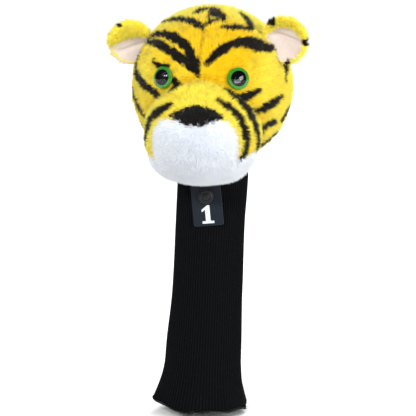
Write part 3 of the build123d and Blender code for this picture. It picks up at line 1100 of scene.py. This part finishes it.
def rib_knit(name):
    """Acrylic rib knit: near-black yarn, matt, with a column of small stitches on every rib, and painted
    shade in the hollows between the ribs.
    """
    material, tree, shader = new_material(name)
    place = add(tree, "ShaderNodeTexCoord").outputs["Object"]
    split = add(tree, "ShaderNodeSeparateXYZ", {0: place})
    rows = add(
        tree, "ShaderNodeMath", {0: split.outputs["Z"], 1: 2 * math.pi / (1.7 * MM)}, operation="MULTIPLY"
    )
    rows = add(tree, "ShaderNodeMath", {0: rows.outputs[0]}, operation="SINE")
    fuzz = add(tree, "ShaderNodeTexNoise", {"Vector": place, "Scale": 1 / (1.2 * MM), "Detail": 4.0})
    bumps = {0: rows.outputs[0], 1: 0.35, 2: fuzz.outputs["Fac"]}
    height = add(tree, "ShaderNodeMath", bumps, operation="MULTIPLY_ADD")
    # Painted shade: the hollows between the ribs are painted darker and the crests lighter
    crest = number(tree, "crest")
    level = add(tree, "ShaderNodeMath", {0: crest, 1: 0.7, 2: 0.0}, operation="MULTIPLY_ADD")
    level = add(
        tree,
        "ShaderNodeMath",
        {0: fuzz.outputs["Fac"], 1: 0.4, 2: level.outputs[0]},
        operation="MULTIPLY_ADD",
    )
    lay_surface(tree, shader, level.outputs[0], "#020203", "#0A0B0D", height.outputs[0], 0.6, 0.35)
    set_shader(shader, Roughness=0.95, Sheen_Weight=0.01, Specular_IOR_Level=0.05)
    return material


class HEADCOVER_OT_sleeve(bpy.types.Operator):
    """Knits the ribbed sleeve, with its flared and waved mouth"""

    bl_idname = "headcover.sleeve"
    bl_label = "Knitted Sleeve"

    def execute(self, context):
        knit = context.scene.head_cover_knit
        columns = knit.ribs * RIB_STEPS
        rows = 64
        turn = np.linspace(0, 2 * math.pi, columns, endpoint=False)
        down = np.linspace(SLEEVE_TOP, SLEEVE_LENGTH - HEM_DEPTH, rows)
        turns, downs = np.meshgrid(turn, down)
        crest = 0.5 + 0.5 * np.cos(knit.ribs * turns)
        points = sleeve_point(turns, downs, (crest**0.7 - 1) * knit.depth).reshape(-1, 3)
        faces = tube_faces(rows, columns)
        normals = point_normals(points, faces)
        middle = (points.reshape(rows, columns, 3) - downs[..., None] * SLEEVE_DOWN).reshape(-1, 3)
        if np.sum(normals * middle) < 0:
            faces, normals = faces[:, ::-1], -normals
        all_points, all_faces, _ = shell(points, faces, normals, knit.wall)
        obj = new_object("knit_sleeve_cloth", all_points, all_faces)
        set_values(obj, "crest", np.concatenate([crest.ravel(), 1 - crest.ravel()]))
        obj.data.materials.append(rib_knit("Acrylic rib knit, charcoal black"))
        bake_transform(obj)
        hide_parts("knit_sleeve")
        return {"FINISHED"}


def stitch_tree():
    """Geometry nodes that lay yarn stitches across a loop, close together, each tilted the same way."""
    tree, given = new_group("Overlock stitches", {"Count": "Int", "Thread": "Float", "Reach": "Float"})
    line = add(tree, "GeometryNodeMeshToCurve", {"Mesh": given["Geometry"]}).outputs[0]
    line = add(tree, "GeometryNodeResampleCurve", {"Curve": line, "Count": given["Count"]}).outputs[0]
    tangent = add(tree, "GeometryNodeInputTangent").outputs[0]
    tilted = add(tree, "ShaderNodeVectorMath", {0: tangent, 1: (0, 0, 0.35)}).outputs[0]
    turn = add(tree, "FunctionNodeAlignRotationToVector", {"Vector": tilted}, axis="X").outputs[0]
    stitch = add(tree, "GeometryNodeMeshUVSphere", {"Segments": 6, "Rings": 6, "Radius": 1.0}).outputs["Mesh"]
    size = add(
        tree, "ShaderNodeCombineXYZ", {0: given["Thread"], 1: given["Thread"], 2: given["Reach"]}
    ).outputs[0]
    laid = add(
        tree,
        "GeometryNodeInstanceOnPoints",
        {"Points": line, "Instance": stitch, "Rotation": turn, "Scale": size},
    ).outputs[0]
    real = add(tree, "GeometryNodeRealizeInstances", {"Geometry": laid}).outputs[0]
    end_group(tree, real, given["Material"])
    return tree


def stitched_loop(name, points, material, count, thread, reach):
    """A ring of stitches along a closed loop: thread and reach are half a stitch's width and length, mm."""
    edges = [(i, (i + 1) % len(points)) for i in range(len(points))]
    mesh = bpy.data.meshes.new(name)
    mesh.from_pydata((points * MM).tolist(), edges, [])
    obj = bpy.data.objects.new(name, mesh)
    bpy.context.scene.collection.objects.link(obj)
    tree = bpy.data.node_groups.get("Overlock stitches") or stitch_tree()
    values = {"Count": count, "Thread": thread * MM, "Reach": reach * MM, "Material": material}
    return run_nodes(obj, tree, values)


class HEADCOVER_OT_hem(bpy.types.Operator):
    """Overlocks the sleeve's mouth and binds the neck"""

    bl_idname = "headcover.hem"
    bl_label = "Hem and Neck Binding"

    def execute(self, context):
        yarn = woven("Overlock yarn, texturised polyester", "#030304", "#101113", 0.6, 0.9, 0.03)
        tape = woven("Woven polyester tape, black", "#040405", "#121214", 0.7, 0.9, 0.03)
        turn = np.linspace(0, 2 * math.pi, 240, endpoint=False)
        down = np.full_like(turn, SLEEVE_LENGTH - HEM_UP)
        loop = sleeve_point(turn, down, proud=-HEM_IN)
        obj = stitched_loop("hem_overlock", loop, yarn, count=300, thread=0.62, reach=2.3)
        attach(obj, "sleeve")
        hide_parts("hem_edging")
        radius = BINDING_R - 1.0
        loop = np.stack([np.cos(turn), np.sin(turn), 0 * turn], 1) * radius
        drop = np.hypot(loop[:, 0] - HEAD[0], loop[:, 1] - HEAD[1])
        loop[:, 2] = HEAD[2] - np.sqrt((HEAD_R - PILE_ROOT) ** 2 - drop**2)
        out = loop * np.array([1, 1, 0]) / radius
        rings = []
        for angle in np.linspace(0, 2 * math.pi, 8, endpoint=False):
            lift = math.sin(angle) * TAPE_HEIGHT + TAPE_RISE
            rings.append(loop + out * math.cos(angle) * TAPE_WALL + np.array([0, 0, 1]) * lift)
        rings.append(rings[0])
        points = np.stack(rings)
        obj = outward(
            new_object("neck_binding_tape", points.reshape(-1, 3), tube_faces(len(rings), len(turn)))
        )
        obj.data.materials.append(tape)
        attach(obj, "head")
        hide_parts("neck_binding")
        return {"FINISHED"}


# Tag and button -------------------------------------------------------------------------------------------

TAG_GLOSS = 0.15
# The button's half section from the middle out, as shares of its radius and height
BUTTON_SECTION = (
    (0.0, 1.0),  # a plain dome
    (0.25, 0.98),
    (0.42, 0.93),
    (0.46, 0.74),  # a groove
    (0.54, 0.72),
    (0.58, 0.9),  # a raised ring
    (0.72, 0.82),
    (0.78, 0.6),  # a second groove
    (0.84, 0.56),
    (0.92, 0.62),  # a rolled edge
    (0.99, 0.42),
    (1.0, 0.1),
    (0.96, 0.0),
    (0.0, 0.0),
)


class HEADCOVER_OT_tag(bpy.types.Operator):
    """Dresses the number tag and turns its round button"""

    bl_idname = "headcover.tag"
    bl_label = "Tag and Button"

    def execute(self, context):
        dress(
            "tag_face",
            moulded("Grained polyurethane, navy black", "#0A0F16", "#141B25", 0.6, 0.9, 0.12, TAG_GLOSS),
        )
        dress(
            "tag_backing",
            moulded("Polyurethane backing, slate", "#39424C", "#59636E", 0.6, 0.9, 0.1, TAG_GLOSS),
        )
        dress(
            "tag_numeral",
            moulded("Raised print, pale grey", "#AFBBC3", "#C4D0D8", 0.6, 0.6, 0.05, TAG_GLOSS),
        )
        brass = moulded("Pressed brass, nickel free", "#8C7233", "#A88A44", 0.35, 0.8, 0.02, metal=1.0)
        for node in ("rivet_post", "rivet_washer"):
            dress(node, brass)
        low, high = box_mm("rivet_cap")
        radius = (high[0] - low[0]) / 2
        centre = (low + high) / 2
        rise = high[1] - low[1]
        turn = np.linspace(0, 2 * math.pi, 64, endpoint=False)
        rows = []
        for share, height in BUTTON_SECTION:
            place = centre + np.zeros((len(turn), 3))
            place[:, 0] += radius * share * np.cos(turn)
            place[:, 2] += radius * share * np.sin(turn)
            place[:, 1] = high[1] - rise * height
            rows.append(place)
        obj = new_object("rivet_button", np.concatenate(rows), tube_faces(len(BUTTON_SECTION), len(turn)))
        outward(obj)
        nylon = moulded("Black nylon, moulded", "#050607", "#0E1013", 0.45, 0.5, 0.03, gloss=0.3)
        obj.data.materials.append(nylon)
        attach(obj, "sleeve")
        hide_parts("rivet_cap")
        return {"FINISHED"}


# Stage ----------------------------------------------------------------------------------------------------

FLOOR_HALF, FLOOR_GAP = 4, 0.004  # in metres: half the floor's width, and its gap below the sleeve
ROOM, ROOM_LOSS = 0.85, 0.7  # the room's light, and how much of it mirrored and refracted rays lose
WHITE_ROOM = 1.05  # the room as the camera sees it
# Each lamp: where it shines from, its strength, and the angle that it spans
LAMPS = {
    "key": ((-0.7, -1.6, 0.9), 1.3, 0.09),
    "second key": ((-0.1, -1.6, 0.9), 1.2, 0.09),
    "fill": ((1.5, -1.0, 0.4), 2.2, 0.6),
    "back": ((0.3, 1.6, 1.0), 1.9, 0.6),
}


class HEADCOVER_OT_stage(bpy.types.Operator):
    """Sets the pale floor, the soft lights and the camera"""

    bl_idname = "headcover.stage"
    bl_label = "Stage"

    def execute(self, context):
        scene = context.scene
        view = scene.head_cover_view
        low = CAD_BOX[0][2]
        corners = np.array([(-1, -1, 0), (1, -1, 0), (1, 1, 0), (-1, 1, 0)]) * FLOOR_HALF
        floor = new_object("floor", corners / MM, [(0, 1, 2, 3)])
        floor.data.transform(Matrix.Translation((0, 0, low - FLOOR_GAP)))
        floor.data.materials.append(moulded("Pale painted floor", "#F7F7F6", "#FAFAF9", 0.8, 30.0, 0.05))
        world = bpy.data.worlds.new("Studio")
        world.use_nodes = True
        tree = world.node_tree
        soft = tree.nodes["Background"]
        soft.inputs["Color"].default_value = linear("#F4F6F8")
        white = add(tree, "ShaderNodeBackground", {"Color": linear("#FFFFFF"), "Strength": WHITE_ROOM})
        path = add(tree, "ShaderNodeLightPath").outputs
        seen = path["Is Camera Ray"]
        gloss = {0: path["Is Glossy Ray"], 1: path["Is Transmission Ray"]}
        mirrored = add(tree, "ShaderNodeMath", gloss, operation="MAXIMUM").outputs[0]
        level = add(tree, "ShaderNodeMath", {0: mirrored, 1: -ROOM_LOSS, 2: ROOM}, operation="MULTIPLY_ADD")
        tree.links.new(level.outputs[0], soft.inputs["Strength"])
        both = add(tree, "ShaderNodeMixShader", {0: seen, 1: soft.outputs[0], 2: white.outputs[0]})
        tree.links.new(both.outputs[0], tree.nodes["World Output"].inputs["Surface"])
        scene.world = world
        for name, lamp in LAMPS.items():
            self.light(name, *lamp)
        target = Vector((view.aim_x, view.aim_y, view.aim_z))
        azimuth, elevation = view.azimuth, view.elevation
        reach = math.cos(elevation)
        way = Vector((math.sin(azimuth) * reach, -math.cos(azimuth) * reach, math.sin(elevation)))
        data = bpy.data.cameras.new("camera")
        camera = bpy.data.objects.new("camera", data)
        scene.collection.objects.link(camera)
        camera.location = target + way * view.distance
        camera.rotation_euler = (-way).to_track_quat("-Z", "Y").to_euler()
        data.lens = data.sensor_width * view.distance / view.width
        data.clip_start = 0.05
        scene.camera = camera
        scene.view_settings.view_transform = "Standard"
        return {"FINISHED"}

    def light(self, name, place, strength, softness):
        """A distant lamp, so that the floor is lit evenly: softness is the angle that it spans."""
        data = bpy.data.lights.new(name, "SUN")
        data.energy = strength
        data.angle = softness
        obj = bpy.data.objects.new(name, data)
        bpy.context.scene.collection.objects.link(obj)
        obj.location = place
        obj.rotation_euler = (-Vector(place)).to_track_quat("-Z", "Y").to_euler()


# Settings, panel and running ------------------------------------------------------------------------------


class HeadCoverPlush(bpy.types.PropertyGroup):
    gold: StringProperty(name="Gold", description="Plush at the middle of the face", default="#F9CE06")
    lemon: StringProperty(name="Lemon", description="Plush at the sides", default="#FAF05A")
    ink: StringProperty(name="Ink", description="Airbrushed stripes", default="#120C06")
    length: FloatProperty(name="Pile length", description="Length of the pile, mm", default=5.2, min=0.5)
    width: FloatProperty(name="Pile width", description="Half width of a tuft, mm", default=0.46, min=0.05)
    density: FloatProperty(name="Pile density", description="Tufts in a square mm", default=2.1, min=0.1)
    lean: FloatProperty(name="Lean", description="How far the pile lies over", default=0.6, min=0.0)
    clump: FloatProperty(name="Clump", description="How much the pile clumps", default=2.4, min=0.0)


class HeadCoverKnit(bpy.types.PropertyGroup):
    ribs: IntProperty(name="Ribs", description="Ribs round the sleeve", default=84, min=12)
    depth: FloatProperty(name="Rib depth", description="Height of a rib, mm", default=0.7, min=0.0)
    wall: FloatProperty(name="Wall", description="Thickness of the knit, mm", default=1.6, min=0.3)


class HeadCoverView(bpy.types.PropertyGroup):
    azimuth: FloatProperty(
        name="Azimuth", description="Camera's way round", default=math.radians(9.5), subtype="ANGLE"
    )
    elevation: FloatProperty(
        name="Elevation", description="Camera's height", default=math.radians(8.0), subtype="ANGLE"
    )
    distance: FloatProperty(name="Distance", description="To the camera", default=2.3, unit="LENGTH")
    width: FloatProperty(name="Width", description="What the view spans", default=0.392, unit="LENGTH")
    aim_x: FloatProperty(name="Aim X", description="What the camera looks at", default=-0.004, unit="LENGTH")
    aim_y: FloatProperty(name="Aim Y", description="What the camera looks at", default=-0.010, unit="LENGTH")
    aim_z: FloatProperty(name="Aim Z", description="What the camera looks at", default=-0.046, unit="LENGTH")


class HEADCOVER_PT_panel(bpy.types.Panel):
    """Lists the head cover's pieces"""

    bl_idname = "HEADCOVER_PT_panel"
    bl_label = "Head Cover"
    bl_space_type = "VIEW_3D"
    bl_region_type = "UI"
    bl_category = "Head Cover"

    def draw(self, context):
        for operator in OPERATORS:
            self.layout.operator(operator.bl_idname)
        for settings, names in (
            (context.scene.head_cover_plush, HeadCoverPlush.__annotations__),
            (context.scene.head_cover_knit, HeadCoverKnit.__annotations__),
            (context.scene.head_cover_view, HeadCoverView.__annotations__),
        ):
            for name in names:
                self.layout.prop(settings, name)


OPERATORS = (
    HEADCOVER_OT_stage,
    HEADCOVER_OT_plush,
    HEADCOVER_OT_inside,
    HEADCOVER_OT_ears,
    HEADCOVER_OT_eyes,
    HEADCOVER_OT_hem,
    HEADCOVER_OT_sleeve,
    HEADCOVER_OT_tag,
)
CLASSES = (HeadCoverPlush, HeadCoverKnit, HeadCoverView, *OPERATORS, HEADCOVER_PT_panel)


def register():
    for cls in CLASSES:
        bpy.utils.register_class(cls)
    bpy.types.Scene.head_cover_plush = PointerProperty(type=HeadCoverPlush)
    bpy.types.Scene.head_cover_knit = PointerProperty(type=HeadCoverKnit)
    bpy.types.Scene.head_cover_view = PointerProperty(type=HeadCoverView)


def unregister():
    for name in ("head_cover_view", "head_cover_knit", "head_cover_plush"):
        delattr(bpy.types.Scene, name)
    for cls in reversed(CLASSES):
        bpy.utils.unregister_class(cls)


def main():
    register()
    for operator in OPERATORS:
        family, name = operator.bl_idname.split(".")
        getattr(getattr(bpy.ops, family), name)()


if __name__ == "__main__":
    main()
